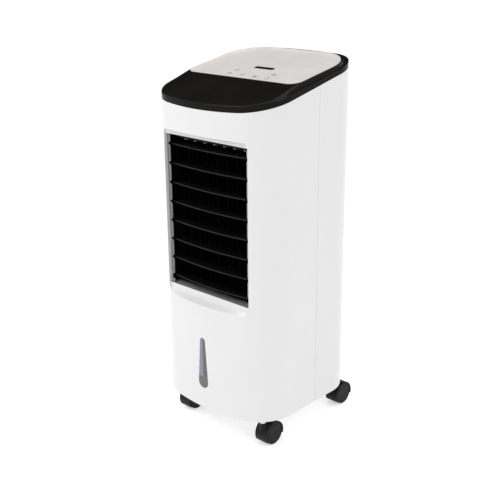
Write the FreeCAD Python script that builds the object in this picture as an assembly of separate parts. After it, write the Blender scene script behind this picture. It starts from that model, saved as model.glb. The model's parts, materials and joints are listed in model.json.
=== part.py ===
import FreeCAD, Part
import math
import os
from FreeCAD import Vector

# Evaporative tower cooler on four castors. Millimetres, +Z up.
# Origin: on the floor, under the middle of the casing. The air outlet faces -Y.

X = Vector(1, 0, 0)
Y = Vector(0, 1, 0)
Z = Vector(0, 0, 1)

# Casing footprint: bowed front and rear, rounded corners, straight sides.
BODY_W = 260.0
BODY_D = 262.0
FRONT_Y = -BODY_D / 2
REAR_Y = BODY_D / 2
SIDE_X = BODY_W / 2
FRONT_R = 356.0
FRONT_CORNER_R = 70.0
REAR_R = 815.0
REAR_CORNER_R = 62.0
WALL = 2.5
BASE_Z = 58.0
SEAM_Y = 14.0
SEAM_GAP = 0.4
SEAM_LIP = 1.5
SEAM_LIP_FRONT = 5.0
SEAM_LIP_REAR = 8.0
GAP = 0.3
RUN = 0.05
FAR = 400.0
TALL = 1200.0

# Top: every level is the height over the front edge of the casing, rising to the rear.
CAP_Z = 579.0
CAP_SLOPE = 0.224
CAP_LIP = 8.5
CAP_SHOULDER = 5.0
CAP_SHOULDER_RISE = 3.6
CAP_SHOULDER_SLOPE = 0.2045
CAP_RIM = 1.2
CAP_SKIRT = 8.0
CAP_SKIRT_T = 1.8
PANEL_SIDE = 8.8
PANEL_W = BODY_W - 2 * PANEL_SIDE
PANEL_FRONT_Y = FRONT_Y + 94.7
PANEL_REAR_Y = REAR_Y - 12.4
PANEL_FRONT_R = 19.0
PANEL_REAR_R = 63.0
PANEL_Z = 599.5
PANEL_SLOPE = 0.188
PANEL_PROUD = 1.0
PANEL_SEAT = 3.8
PANEL_LEDGE = 7.0
PANEL_RIM = 2.2
DISH_DEPTH = 2.8
DISH_SIDE = 6.0
BOARD_W = 110.0
BOARD_D = 60.0
BOARD_Y = 0.0
BOARD_T = 1.6
BOARD_POST = 3.0
BOARD_POST_R = 3.0
BOARD_INSET = 6.0
RELAY = (-30.0, -12.0, 16.0, 10.0)
PLUG = (20.0, 40.0, 8.0, 8.0)
WINDOW_W = 42.0
WINDOW_H = 9.0
WINDOW_T = 0.5
WINDOW_X = 6.5
WINDOW_Y = 21.5

# Air outlet in the front casing.
SILL_Z = 263.2
OPENING_H = 263.1
HEADER_Z = SILL_Z + OPENING_H
OUT_W = BODY_W - 73.0
OUT_Z0 = SILL_Z - 15.2
OUT_Z1 = HEADER_Z + 10.7
OUT_R_TOP = 11.0
OUT_R_LOW = 15.0
LEDGE_RISE = 7.0
EDGE_REACH = 0.8
RIM_LIFT = 0.3
SILL_Y = FRONT_Y + 18.0
LINER_T = 2.0
LINER_REAR_Y = FRONT_Y + 27.0
SILL_REAR_Y = FRONT_Y + 37.0
SILL_T = 2.2
RIB_PITCH = 4.0
RIB_DEPTH = 0.7
RAIL_Y = FRONT_Y + 21.0
RAIL_T = 1.7
RAIL_W = 7.0
RAIL_SPINE = 2.0
RAIL_R = 4.4
RAIL_OUT = OUT_W / 2 - GAP / 2
RAIL_FOOT = 5.5

# Louvres: horizontal blades on side pins.
LOUVRES = 8
LOUVRE_FOOT = 13.4
LOUVRE_HEAD = 17.3
LOUVRE_PITCH = (OPENING_H - LOUVRE_FOOT - LOUVRE_HEAD) / (LOUVRES - 1)
LOUVRE_PIN_Y = FRONT_Y + 26.0
LOUVRE_W = OUT_W - 18.0
LOUVRE_T = 2.2
LOUVRE_BOW = 6.0
LOUVRE_NOSE = 8.5
LOUVRE_TAIL = 12.0
LOUVRE_TAPER = 6.0
LOUVRE_PIN_R = 1.2
LOUVRE_CRANK = 11.0
LINK_T = 2.0
LINK_W = 4.0
LINK_PIN_R = 1.0
PIN_Z = [SILL_Z + LOUVRE_FOOT + LOUVRE_PITCH * (LOUVRES - 1 - k) for k in range(LOUVRES)]

# Vanes: upright blades behind the louvres, swung by a motor.
VANES = 7
VANE_PITCH = 22.3
VANE_Y = FRONT_Y + 56.0
VANE_CHORD = 24.0
VANE_T = 1.6
VANE_PIN_R = 1.5
VANE_CRANK = 9.0
VANE_X = [VANE_PITCH * (k - (VANES - 1) / 2) for k in range(VANES)]
CRANK_X = VANE_PITCH / 2
CARRIER_T = 2.5
CARRIER_REAR_Y = FRONT_Y + 73.0
CARRIER_LOW_Z = SILL_Z - 1.2
CARRIER_LOW_T = 5.0
CARRIER_TOP_Z = HEADER_Z - 8.3
CARRIER_TOP_T = 5.0
BUSH_W = 4.6
BUSH_H = 3.0
MOTOR_R = 14.0
MOTOR_H = 19.0
MOTOR_SHAFT_R = 2.5

# Fan: upright cross-flow drum in a scroll housing.
FAN_Y = REAR_Y - 109.0
FAN_R = 46.0
FAN_BLADES = 24
FAN_DISCS = 5
FAN_DISC_T = 1.6
FAN_SHAFT_R = 4.0
SCROLL_GAP = 4.0
HOUSING_T = 2.5
HOUSING_Z0 = CARRIER_LOW_Z
HOUSING_Z1 = HEADER_Z + 1.7
FAN_Z0 = HOUSING_Z0 + 6.0
FAN_Z1 = HOUSING_Z1 - 6.0
FAN_MOTOR_R = 38.0
FAN_MOTOR_H = 38.0
BEARING_R = 9.0
LEG_R = 5.0
LEG_OUT = 9.0
LEG_FRONT_Y = CARRIER_REAR_Y + 18.0
LEG_REAR_Y = FAN_Y + 38.0

# Water side.
TANK_W = BODY_W - 66.0
TANK_FRONT_Y = FRONT_Y + 23.0
TANK_Z0 = 64.0
TANK_Z1 = 205.0
TANK_WALL = 2.3
TANK_CORNER_R = 40.0
TANK_FACE_W = BODY_W - 61.0
TANK_FACE_Z1 = 219.5
FACE_GAP = 0.5
DOOR_R = 4.0
DOOR_IN = REAR_Y - 31.0
DOOR_OUT = REAR_Y + 9.0
PULL_W = 60.0
PULL_H = 9.0
PULL_Z = 209.5
DRAIN_X = 27.0 - TANK_W / 2
DRAIN_R = 6.0
DRAIN_RISE = 16.0
DRAIN_HEAD_R = 9.0
DRAIN_HEAD_T = 3.0
DECK_Z = 213.5
DECK_T = 2.5
PUMP_X = SIDE_X - 60.0
PUMP_Y = REAR_Y - 47.0
PUMP_W = 42.0
PUMP_H = 39.0
SPOUT_H = 6.0
HOSE_R = 5.0
TRAY_Z = 560.0
TRAY_H = 14.0
TRAY_T = 1.8
TRAY_Y0 = REAR_Y - 45.0
TRAY_Y1 = REAR_Y - 25.0
TRAY_X0 = -88.0
TRAY_X1 = SIDE_X - 18.0
TRAY_HANGER_X = 60.0
DRIP_PITCH = 12.0
NOZZLE_H = 8.0
HOSE_ROUTE = ((PUMP_X + 14, PUMP_Y), (PUMP_X + 14, PUMP_Y, 205), (TRAY_X1 - 8, PUMP_Y + 10, 262),
              (TRAY_X1 - 8, PUMP_Y + 10))
PAD_W = BODY_W - 85.0
PAD_Z0 = 262.0
PAD_Z1 = 552.0
PAD_Y0 = REAR_Y - 38.0
PAD_T = 20.0
PAD_FRAME_T = 4.0
PAD_BARS = 4
MESH_T = 0.8

# Rear panels.
GRILLE_W = BODY_W - 60.0
GRILLE_Z0 = 256.0
GRILLE_Z1 = 575.0
SLOT_PITCH = 9.0
SLOT_H = 4.5
SLOT_W = BODY_W / 2 - 48.0
SLOT_BAR = 12.0
LATCH_Z = 236.0
LATCH_L = 22.0
LATCH_R = 7.0
LATCH_T = 4.5
LATCH_PIN_R = 3.0
GLAND_X = -60.0
GLAND_Z = 240.0
GLAND_BORE_R = 4.2
GLAND_R = 6.5
GLAND_FLANGE_R = 8.5
GLAND_L = 16.0
GLAND_IN = 10.0

# Water-level window: a drop outline.
GAUGE_Z0 = 95.7
GAUGE_Z1 = 189.5
GAUGE_R_TOP = 5.75
GAUGE_R_LOW = 11.0

# Small notches for the rear trim's tabs, down both rear corners.
NOTCHES = 4
NOTCH_Z = 200.0
NOTCH_PITCH = 132.5
NOTCH_TURN = 30.0
NOTCH_R = 1.1
NOTCH_DEPTH = 0.8

# Screws that come up through the base into the casing.
SCREW_HEAD_R = 3.5
SCREW_R = 1.6
SCREW_BOSS_R = 5.5
SCREW_INSET = 7.0
SCREW_TOP_Z = 80.0
SCREW_FRONT_X = 45.0
SCREW_FROM_SEAM = 40.0

# Castors.
WHEEL_R = 20.0
WHEEL_T = 9.6
WHEEL_GAP = 6.0
GROOVE_R = 17.0
GROOVE_W = 1.0
GROOVE_DEPTH = 0.7
AXLE_R = 2.0
TRAIL = 17.0
CASTOR_X = SIDE_X - 35.0
CASTOR_FRONT_Y = FRONT_Y + 47.0
CASTOR_REAR_Y = REAR_Y - 19.0
HOOD_WALL = 1.6
HOOD_FRONT_Z = 7.5
HOOD_REAR_Z = 14.0
HOOD_TOP_Z = 43.7
BOSS_R = 6.0
STEM_R = 3.0
SOCKET_R = 5.5
SOCKET_TOP_R = 7.0
SOCKET_DEPTH = 19.0
BASE_T = 3.0
RUNNER_X = 60.0
RUNNER_W = 4.0


# ---- helpers ---------------------------------------------------------------

def block(x0, x1, y0, y1, z0, z1):
    return Part.makeBox(x1 - x0, y1 - y0, z1 - z0, Vector(x0, y0, z0))


def rod(x, y, z, radius, length, axis=Z):
    return Part.makeCylinder(radius, length, Vector(x, y, z), axis)


def fuse(first, *others):
    """One solid from touching solids."""
    return first.fuse(list(others)).removeSplitter()


def rounded_face(corners):
    """Face from (point, radius) corners joined by straight runs and tangent arcs."""
    edges = []
    points = [point for point, radius in corners]
    ends = []
    for i, (point, radius) in enumerate(corners):
        back = (points[i - 1] - point).normalize()
        ahead = (points[(i + 1) % len(points)] - point).normalize()
        half = back.getAngle(ahead) / 2
        run = radius / math.tan(half)
        middle = point + (back + ahead).normalize() * (radius / math.sin(half) - radius)
        ends.append((point + back * run, middle, point + ahead * run))
    for i, (start, middle, end) in enumerate(ends):
        last = ends[i - 1][2]
        if (start - last).Length > 1e-6:
            edges.append(Part.LineSegment(last, start).toShape())
        if (end - start).Length > 1e-6:
            edges.append(Part.Arc(start, middle, end).toShape())
    return Part.Face(Part.Wire(edges))


def upright(half_w, z0, z1, r_low, r_top, y0, y1):
    """Rounded rectangle seen from the front, solid from y0 to y1."""
    corners = [(Vector(-half_w, y0, z0), r_low), (Vector(half_w, y0, z0), r_low),
               (Vector(half_w, y0, z1), r_top), (Vector(-half_w, y0, z1), r_top)]
    return rounded_face(corners).extrude(Vector(0, y1 - y0, 0))


def end_of_outline(inset, face_y, big_r, small_r, side):
    """Corner centre and tangent points of one bowed end; side is -1 front, +1 rear."""
    centre_y = face_y - side * big_r
    corner_x = SIDE_X - small_r
    corner_y = centre_y + side * math.sqrt((big_r - small_r) ** 2 - corner_x ** 2)
    turn = math.atan2(corner_y - centre_y, corner_x)
    tangent = Vector((big_r - inset) * math.cos(turn), centre_y + (big_r - inset) * math.sin(turn), 0)
    r = small_r - inset
    middle = Vector(corner_x + r * math.cos(turn / 2), corner_y + r * math.sin(turn / 2), 0)
    shoulder = Vector(SIDE_X - inset, corner_y, 0)
    crown = Vector(0, face_y - side * inset, 0)
    return crown, tangent, middle, shoulder


def flip(point):
    return Vector(-point.x, point.y, point.z)


def outline(inset=0.0):
    """Footprint of the casing moved inwards by inset, as a face at z = 0."""
    crown_f, tan_f, mid_f, sho_f = end_of_outline(inset, FRONT_Y, FRONT_R, FRONT_CORNER_R, -1)
    crown_r, tan_r, mid_r, sho_r = end_of_outline(inset, REAR_Y, REAR_R, REAR_CORNER_R, 1)
    edges = [Part.Arc(flip(tan_f), crown_f, tan_f), Part.Arc(tan_f, mid_f, sho_f),
             Part.LineSegment(sho_f, sho_r), Part.Arc(sho_r, mid_r, tan_r),
             Part.Arc(tan_r, crown_r, flip(tan_r)), Part.Arc(flip(tan_r), flip(mid_r), flip(sho_r)),
             Part.LineSegment(flip(sho_r), flip(sho_f)), Part.Arc(flip(sho_f), flip(mid_f), flip(tan_f))]
    return Part.Face(Part.Wire([edge.toShape() for edge in edges]))


def prism(inset, z0, z1):
    face = outline(inset)
    face.translate(Vector(0, 0, z0))
    return face.extrude(Vector(0, 0, z1 - z0))


def ring(inset, thickness, z0, z1):
    return prism(inset, z0, z1).cut(prism(inset + thickness, z0 - 1, z1 + 1))


def lean(shape, height, slope):
    """Shear a shape drawn at z = 0 onto the plane that is at height over the front edge."""
    matrix = FreeCAD.Matrix()
    matrix.A32 = slope
    matrix.A34 = height - slope * FRONT_Y
    return shape.transformGeometry(matrix)


def panel_outline(inset=0.0):
    half = PANEL_W / 2 - inset
    y0 = PANEL_FRONT_Y + inset
    y1 = PANEL_REAR_Y - inset
    corners = [(Vector(half, y0, 0), PANEL_FRONT_R - inset), (Vector(half, y1, 0), PANEL_REAR_R - inset),
               (Vector(-half, y1, 0), PANEL_REAR_R - inset), (Vector(-half, y0, 0), PANEL_FRONT_R - inset)]
    return rounded_face(corners)


def panel_slab(inset, low, high):
    """Layer parallel to the control panel, from low to high over its nominal plane."""
    slab = panel_outline(inset).extrude(Vector(0, 0, high - low))
    return lean(slab, PANEL_Z + low, PANEL_SLOPE)


def above_cap_line(lift):
    cutter = block(-FAR, FAR, -FAR, FAR, 0, FAR)
    return lean(cutter, CAP_Z + lift, CAP_SLOPE)


def front_y(x, inset=0.0):
    """Y of the casing's front face at x."""
    centre_y = FRONT_Y + FRONT_R
    corner_x = SIDE_X - FRONT_CORNER_R
    corner_y = centre_y - math.sqrt((FRONT_R - FRONT_CORNER_R) ** 2 - corner_x ** 2)
    tangent_x = corner_x * FRONT_R / (FRONT_R - FRONT_CORNER_R)
    if abs(x) < tangent_x:
        return centre_y - math.sqrt((FRONT_R - inset) ** 2 - x ** 2)
    return corner_y - math.sqrt((FRONT_CORNER_R - inset) ** 2 - (abs(x) - corner_x) ** 2)


def rear_y(x):
    """Y of the casing's rear face at x, between its corners."""
    return REAR_Y - REAR_R + math.sqrt(REAR_R ** 2 - x ** 2)


# ---- casing ----------------------------------------------------------------

def screw_places():
    side_x = SIDE_X - SCREW_INSET
    places = [(SCREW_FRONT_X, front_y(SCREW_FRONT_X) + SCREW_INSET), (side_x, SEAM_Y - SCREW_FROM_SEAM),
              (side_x, SEAM_Y + SCREW_FROM_SEAM)]
    return places + [(-x, y) for x, y in places]


def screw_bosses(front):
    """Bosses inside a casing half, bored for the screws that come up through the base."""
    low = BASE_Z + BASE_T + GAP
    bosses = []
    for x, y in screw_places():
        if (y < SEAM_Y) == front:
            boss = rod(x, y, low, SCREW_BOSS_R, SCREW_TOP_Z - low)
            bosses.append(boss.common(prism(WALL / 2, low, SCREW_TOP_Z)))
    return bosses


def screw_bores():
    return [rod(x, y, BASE_Z, SCREW_R, SCREW_TOP_Z - BASE_Z - 2) for x, y in screw_places()]


def mouth_space(rim_z, ledge_z, edge_z):
    """Space in front of a ruled face that runs from the bowed front to a straight edge and turns upright."""
    reach = OUT_W / 2 + 5
    tangent_x = (SIDE_X - FRONT_CORNER_R) * FRONT_R / (FRONT_R - FRONT_CORNER_R)
    splits = [-reach, -tangent_x, tangent_x, reach]
    wires = []
    for z in (rim_z, ledge_z, edge_z):
        edges = []
        for x0, x1 in zip(splits, splits[1:]):
            if z == rim_z:
                points = [Vector(x, front_y(x) - EDGE_REACH, z) for x in (x0, (x0 + x1) / 2, x1)]
                edges.append(Part.Arc(*points).toShape())
            else:
                edges.append(Part.LineSegment(Vector(x0, SILL_Y, z), Vector(x1, SILL_Y, z)).toShape())
        right = edges[-1].Vertexes[-1].Point
        left = edges[0].Vertexes[0].Point
        loop = [right, Vector(reach, FRONT_Y - 20, z), Vector(-reach, FRONT_Y - 20, z), left]
        edges += [Part.LineSegment(p, q).toShape() for p, q in zip(loop, loop[1:])]
        wires.append(Part.Wire(edges))
    lower = Part.makeLoft(wires[:2], True, True)
    upper = Part.makeLoft(wires[1:], True, True)
    return lower.fuse(upper)


def outlet_cut():
    """Space of the air outlet: straight through between sill and header, and flared in front of both."""
    through = upright(OUT_W / 2, OUT_Z0, OUT_Z1, OUT_R_LOW, OUT_R_TOP, FRONT_Y - 10, LINER_REAR_Y + 1)
    opening = through.common(block(-FAR, FAR, -FAR, FAR, SILL_Z, HEADER_Z))
    low = mouth_space(OUT_Z0 + RIM_LIFT, OUT_Z0 + LEDGE_RISE, SILL_Z)
    high = mouth_space(OUT_Z1 - RIM_LIFT, OUT_Z1 - LEDGE_RISE, HEADER_Z)
    return opening.fuse([low.common(through), high.common(through)])


def gauge_face(inset, y):
    """Drop outline of the water window: two round ends joined by tangent lines."""
    top = GAUGE_Z1 - GAUGE_R_TOP
    low = GAUGE_Z0 + GAUGE_R_LOW
    tilt = math.asin((GAUGE_R_LOW - GAUGE_R_TOP) / (top - low))
    out = Vector(math.cos(tilt), 0, math.sin(tilt))
    r_top = GAUGE_R_TOP - inset
    r_low = GAUGE_R_LOW - inset
    upper = Vector(0, y, top) + out * r_top
    lower = Vector(0, y, low) + out * r_low
    edges = [Part.LineSegment(lower, upper), Part.Arc(upper, Vector(0, y, top + r_top), flip(upper)),
             Part.LineSegment(flip(upper), flip(lower)), Part.Arc(flip(lower), Vector(0, y, low - r_low), lower)]
    return Part.Face(Part.Wire([edge.toShape() for edge in edges]))


def make_front_shell():
    high = CAP_Z + BODY_D
    front = block(-FAR, FAR, -FAR, SEAM_Y - SEAM_GAP / 2, 0, TALL)
    shell = ring(0, WALL, BASE_Z, high).common(front)
    half = OUT_W / 2 + LINER_T
    liner = upright(half, OUT_Z0 - LINER_T, OUT_Z1 + LINER_T, OUT_R_LOW, OUT_R_TOP + LINER_T,
                    FRONT_Y - 10, LINER_REAR_Y)
    shell = fuse(shell, liner.common(prism(0, BASE_Z, high)), *screw_bosses(True))
    sill_seat = block(-OUT_W / 2, OUT_W / 2, SILL_Y + GAP, FAR, SILL_Z - SILL_T - GAP, SILL_Z + 1)
    gauge = gauge_face(-GAP / 2, FRONT_Y - 10).extrude(Vector(0, 30, 0))
    cuts = [outlet_cut(), sill_seat, gauge, above_cap_line(0)] + screw_bores()
    return shell.cut(cuts).removeSplitter()


def tab_notches():
    turn = math.radians(NOTCH_TURN)
    corner_x = SIDE_X - REAR_CORNER_R
    corner_y = end_of_outline(0, REAR_Y, REAR_R, REAR_CORNER_R, 1)[3].y
    reach = REAR_CORNER_R - NOTCH_DEPTH
    notches = []
    for k in range(NOTCHES):
        for side in (-1, 1):
            axis = Vector(side * math.cos(turn), math.sin(turn), 0)
            x = side * (corner_x + reach * math.cos(turn))
            y = corner_y + reach * math.sin(turn)
            notches.append(rod(x, y, NOTCH_Z + NOTCH_PITCH * k, NOTCH_R, 3, axis))
    return notches


def door(half_w, z0, z1, r):
    """Rounded rectangle through the rear wall."""
    return upright(half_w, z0, z1, r, r, DOOR_IN, DOOR_OUT)


def make_rear_shell():
    high = CAP_Z + BODY_D
    rear = block(-FAR, FAR, SEAM_Y + SEAM_GAP / 2, FAR, 0, TALL)
    shell = ring(0, WALL, BASE_Z, high).common(rear)
    lip = ring(WALL, SEAM_LIP, BASE_Z + BASE_T + GAP, CAP_Z)
    lip = lip.common(block(-FAR, FAR, SEAM_Y - SEAM_LIP_FRONT, SEAM_Y + SEAM_LIP_REAR, 0, TALL))
    shell = fuse(shell, lip, *screw_bosses(False))
    tank_door = door(TANK_FACE_W / 2 + FACE_GAP, TANK_Z0 - FACE_GAP, TANK_FACE_Z1 + FACE_GAP, DOOR_R)
    grille_door = door(GRILLE_W / 2 + FACE_GAP, GRILLE_Z0, GRILLE_Z1, DOOR_R)
    latch_hole = rod(0, DOOR_IN, LATCH_Z, LATCH_PIN_R + RUN, DOOR_OUT - DOOR_IN, Y)
    gland_hole = rod(GLAND_X, DOOR_IN, GLAND_Z, GLAND_R, DOOR_OUT - DOOR_IN, Y)
    cuts = [tank_door, grille_door, latch_hole, gland_hole, above_cap_line(0)]
    return shell.cut(cuts + tab_notches() + screw_bores()).removeSplitter()


def castor_places():
    return {"front_left": (-CASTOR_X, CASTOR_FRONT_Y), "front_right": (CASTOR_X, CASTOR_FRONT_Y),
            "rear_left": (-CASTOR_X, CASTOR_REAR_Y), "rear_right": (CASTOR_X, CASTOR_REAR_Y)}


def make_base():
    plate = prism(WALL + GAP, BASE_Z, BASE_Z + BASE_T)
    low = HOOD_TOP_Z + GAP
    runners = [block(x - RUNNER_W / 2, x + RUNNER_W / 2, TANK_FRONT_Y + 5, REAR_Y - 20, BASE_Z + BASE_T,
                     TANK_Z0 - GAP) for x in (-RUNNER_X, RUNNER_X)]
    bosses = []
    bores = []
    for x, y in castor_places().values():
        stub = Part.makeCone(SOCKET_R, SOCKET_TOP_R, BASE_Z - low, Vector(x, y, low), Z)
        cup = rod(x, y, BASE_Z, SOCKET_TOP_R, TANK_Z0 - GAP - BASE_Z).common(prism(WALL + GAP, 0, TANK_Z0))
        bosses += [stub, cup]
        bores.append(rod(x, y, low - 1, STEM_R + RUN, SOCKET_DEPTH))
    holes = [rod(x, y, BASE_Z - 1, SCREW_R + 0.2, BASE_T + 2) for x, y in screw_places()]
    return fuse(plate, *(runners + bosses)).cut(bores + holes)


def make_screws():
    shank = SCREW_TOP_Z - BASE_Z - 4
    screws = []
    for x, y in screw_places():
        head = rod(x, y, BASE_Z - 2, SCREW_HEAD_R, 2)
        screws.append(fuse(head, rod(x, y, BASE_Z, SCREW_R, shank)))
    return Part.makeCompound(screws)


# ---- top -------------------------------------------------------------------

def cap_volume(inset, drop, low):
    """Space under the cap's skin: an upright lip, a round shoulder and a slope up to the panel."""
    foot = lean(outline(inset), CAP_Z - low, CAP_SLOPE)
    start = lean(outline(inset), CAP_Z + CAP_LIP - drop, CAP_SLOPE)
    shoulder = lean(outline(inset + CAP_SHOULDER * 0.3), CAP_Z + CAP_LIP + CAP_SHOULDER_RISE * 0.6 - drop,
                    CAP_SLOPE - (CAP_SLOPE - CAP_SHOULDER_SLOPE) * 0.6)
    slope = lean(outline(inset + CAP_SHOULDER), CAP_Z + CAP_LIP + CAP_SHOULDER_RISE - drop,
                 CAP_SHOULDER_SLOPE)
    crown = lean(panel_outline(inset - CAP_RIM), PANEL_Z - drop, PANEL_SLOPE)
    wires = [face.Wires[0] for face in (foot, start, shoulder, slope, crown)]
    return Part.makeLoft(wires, True, True)


def make_cap():
    outer = cap_volume(0, 0, 0)
    inner = cap_volume(WALL, WALL + PANEL_SEAT, GAP)
    seat = panel_slab(-GAP / 2, -PANEL_SEAT, PANEL_SEAT)
    hole = panel_slab(PANEL_LEDGE, -4 * PANEL_SEAT, PANEL_SEAT)
    skirt = lean(ring(WALL + GAP, CAP_SKIRT_T, 0, CAP_SKIRT + 4), CAP_Z - CAP_SKIRT, CAP_SLOPE)
    root = lean(ring(WALL / 2, WALL, 0, 3), CAP_Z + 1, CAP_SLOPE)
    return fuse(outer.cut([inner, seat, hole]), skirt, root)


def board_post_places():
    x = BOARD_W / 2 - BOARD_INSET
    y = BOARD_D / 2 - BOARD_INSET
    return [(sx * x, BOARD_Y + sy * y) for sx in (-1, 1) for sy in (-1, 1)]


def make_panel():
    plate = panel_slab(0, -PANEL_SEAT + GAP, PANEL_PROUD)
    rim = lean(panel_outline(PANEL_RIM), PANEL_Z + PANEL_PROUD, PANEL_SLOPE)
    floor = lean(panel_outline(PANEL_RIM + DISH_SIDE), PANEL_Z + PANEL_PROUD - DISH_DEPTH, PANEL_SLOPE)
    dish = Part.makeLoft([floor.Wires[0], rim.Wires[0]], True, True)
    posts = [rod(x, y, 0, BOARD_POST_R, BOARD_POST) for x, y in board_post_places()]
    posts = [lean(post, PANEL_Z - PANEL_SEAT + GAP - BOARD_POST, PANEL_SLOPE) for post in posts]
    return fuse(plate.cut(dish), *posts)


def make_board():
    low = -PANEL_SEAT + GAP - BOARD_POST - BOARD_T
    board = block(-BOARD_W / 2, BOARD_W / 2, BOARD_Y - BOARD_D / 2, BOARD_Y + BOARD_D / 2, 0, BOARD_T)
    parts = [block(x0, x1, BOARD_Y - d / 2, BOARD_Y + d / 2, -h, 0) for x0, x1, d, h in (RELAY, PLUG)]
    return lean(fuse(board, *parts), PANEL_Z + low, PANEL_SLOPE)


def make_display():
    """Smoked window over the indicators, lying on the dish floor."""
    x0, x1 = WINDOW_X - WINDOW_W / 2, WINDOW_X + WINDOW_W / 2
    y0, y1 = WINDOW_Y - WINDOW_H / 2, WINDOW_Y + WINDOW_H / 2
    r = WINDOW_H / 2.2
    corners = [(Vector(x0, y0, 0), r), (Vector(x1, y0, 0), r), (Vector(x1, y1, 0), r), (Vector(x0, y1, 0), r)]
    lens = rounded_face(corners).extrude(Vector(0, 0, WINDOW_T))
    return lean(lens, PANEL_Z + PANEL_PROUD - DISH_DEPTH, PANEL_SLOPE)


def make_gauge():
    band = ring(GAP, WALL, GAUGE_Z0 - 5, GAUGE_Z1 + 5)
    return band.common(gauge_face(0, FRONT_Y - 10).extrude(Vector(0, 30, 0)))


# ---- air outlet ------------------------------------------------------------

def rail_segment(z0, z1):
    """One length of side rail between two louvre notches, with a sunk strip in its face."""
    inner = RAIL_OUT - RAIL_W
    root = RAIL_OUT - RAIL_SPINE
    corners = [(Vector(root + 0.5, RAIL_Y, z0), 0), (Vector(inner, RAIL_Y, z0), RAIL_R),
               (Vector(inner, RAIL_Y, z1), RAIL_R), (Vector(root + 0.5, RAIL_Y, z1), 0)]
    plate = rounded_face(corners).extrude(Vector(0, RAIL_T, 0))
    sunk = block(inner + 1.8, root - 0.6, RAIL_Y - 1, RAIL_Y + 0.6, z0 + RAIL_R, z1 - RAIL_R)
    return plate.cut(sunk)


def make_outlet_frame():
    """U of side rails and ribbed sill that trims the outlet."""
    top = HEADER_Z - GAP
    low = SILL_Z - SILL_T
    notch = 2 * LOUVRE_PIN_R + 0.3
    levels = [top] + PIN_Z + [PIN_Z[-1] - RAIL_FOOT]
    right = [block(RAIL_OUT - RAIL_SPINE, RAIL_OUT, RAIL_Y, RAIL_Y + RAIL_T, low, top)]
    for upper, lower in zip(levels, levels[1:]):
        if upper - lower > 2 * RAIL_R + notch:
            right.append(rail_segment(lower + notch / 2, upper - notch / 2))
    foot = levels[-1] - notch / 2
    right.append(block(RAIL_OUT - RAIL_W, RAIL_OUT, RAIL_Y, RAIL_Y + RAIL_T, low, foot))
    left = [piece.mirror(Vector(0, 0, 0), X) for piece in right]
    sill = block(-RAIL_OUT, RAIL_OUT, SILL_Y + 2 * GAP, SILL_REAR_Y, low, SILL_Z)
    frame = fuse(sill, *(right + left))
    space = upright(OUT_W / 2 - GAP / 2, OUT_Z0, OUT_Z1 - GAP, OUT_R_LOW, OUT_R_TOP, FRONT_Y, SILL_REAR_Y + 1)
    grooves = []
    y = SILL_Y + 4
    while y < SILL_REAR_Y - 2:
        grooves.append(block(-RAIL_OUT + RAIL_W, RAIL_OUT - RAIL_W, y, y + RIB_PITCH / 2, SILL_Z - RIB_DEPTH,
                             SILL_Z + 1))
        y += RIB_PITCH
    return frame.common(space).cut(grooves)


def make_louvre(z):
    """Bowed blade with a pin at each end and a crank pin at its right rear corner."""
    half = LOUVRE_W / 2
    end_y = LOUVRE_PIN_Y - LOUVRE_NOSE + LOUVRE_BOW
    nose_y = LOUVRE_PIN_Y - LOUVRE_NOSE
    tail_y = LOUVRE_PIN_Y + LOUVRE_TAIL
    low = z - LOUVRE_T / 2
    right = Vector(half, end_y, low)
    points = [right, Vector(half, LOUVRE_PIN_Y + 3, low), Vector(half - LOUVRE_TAPER, tail_y, low)]
    points += [flip(point) for point in reversed(points)]
    edges = [Part.LineSegment(a, b).toShape() for a, b in zip(points, points[1:])]
    edges.append(Part.Arc(points[-1], Vector(0, nose_y, low), right).toShape())
    blade = Part.Face(Part.Wire(edges)).extrude(Vector(0, 0, LOUVRE_T))
    reach = RAIL_OUT - 0.4
    pins = rod(-reach, LOUVRE_PIN_Y, z, LOUVRE_PIN_R, 2 * reach, X)
    crank_y = LOUVRE_PIN_Y + LOUVRE_CRANK
    arm = block(half - LOUVRE_TAPER - 4, half, LOUVRE_PIN_Y, crank_y + 1.6, low, low + LOUVRE_T)
    crank_pin = rod(half - 1, crank_y, z, LINK_PIN_R, LINK_T + 2.5, X)
    return fuse(blade, pins, arm, crank_pin)


def make_louvre_link():
    x0 = LOUVRE_W / 2 + 2 * GAP
    y = LOUVRE_PIN_Y + LOUVRE_CRANK
    bar = block(x0, x0 + LINK_T, y - LINK_W / 2, y + LINK_W / 2, PIN_Z[-1] - LINK_W / 2, PIN_Z[0] + LINK_W / 2)
    return bar.cut([rod(x0 - 1, y, z, LINK_PIN_R + RUN, LINK_T + 2, X) for z in PIN_Z])


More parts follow.
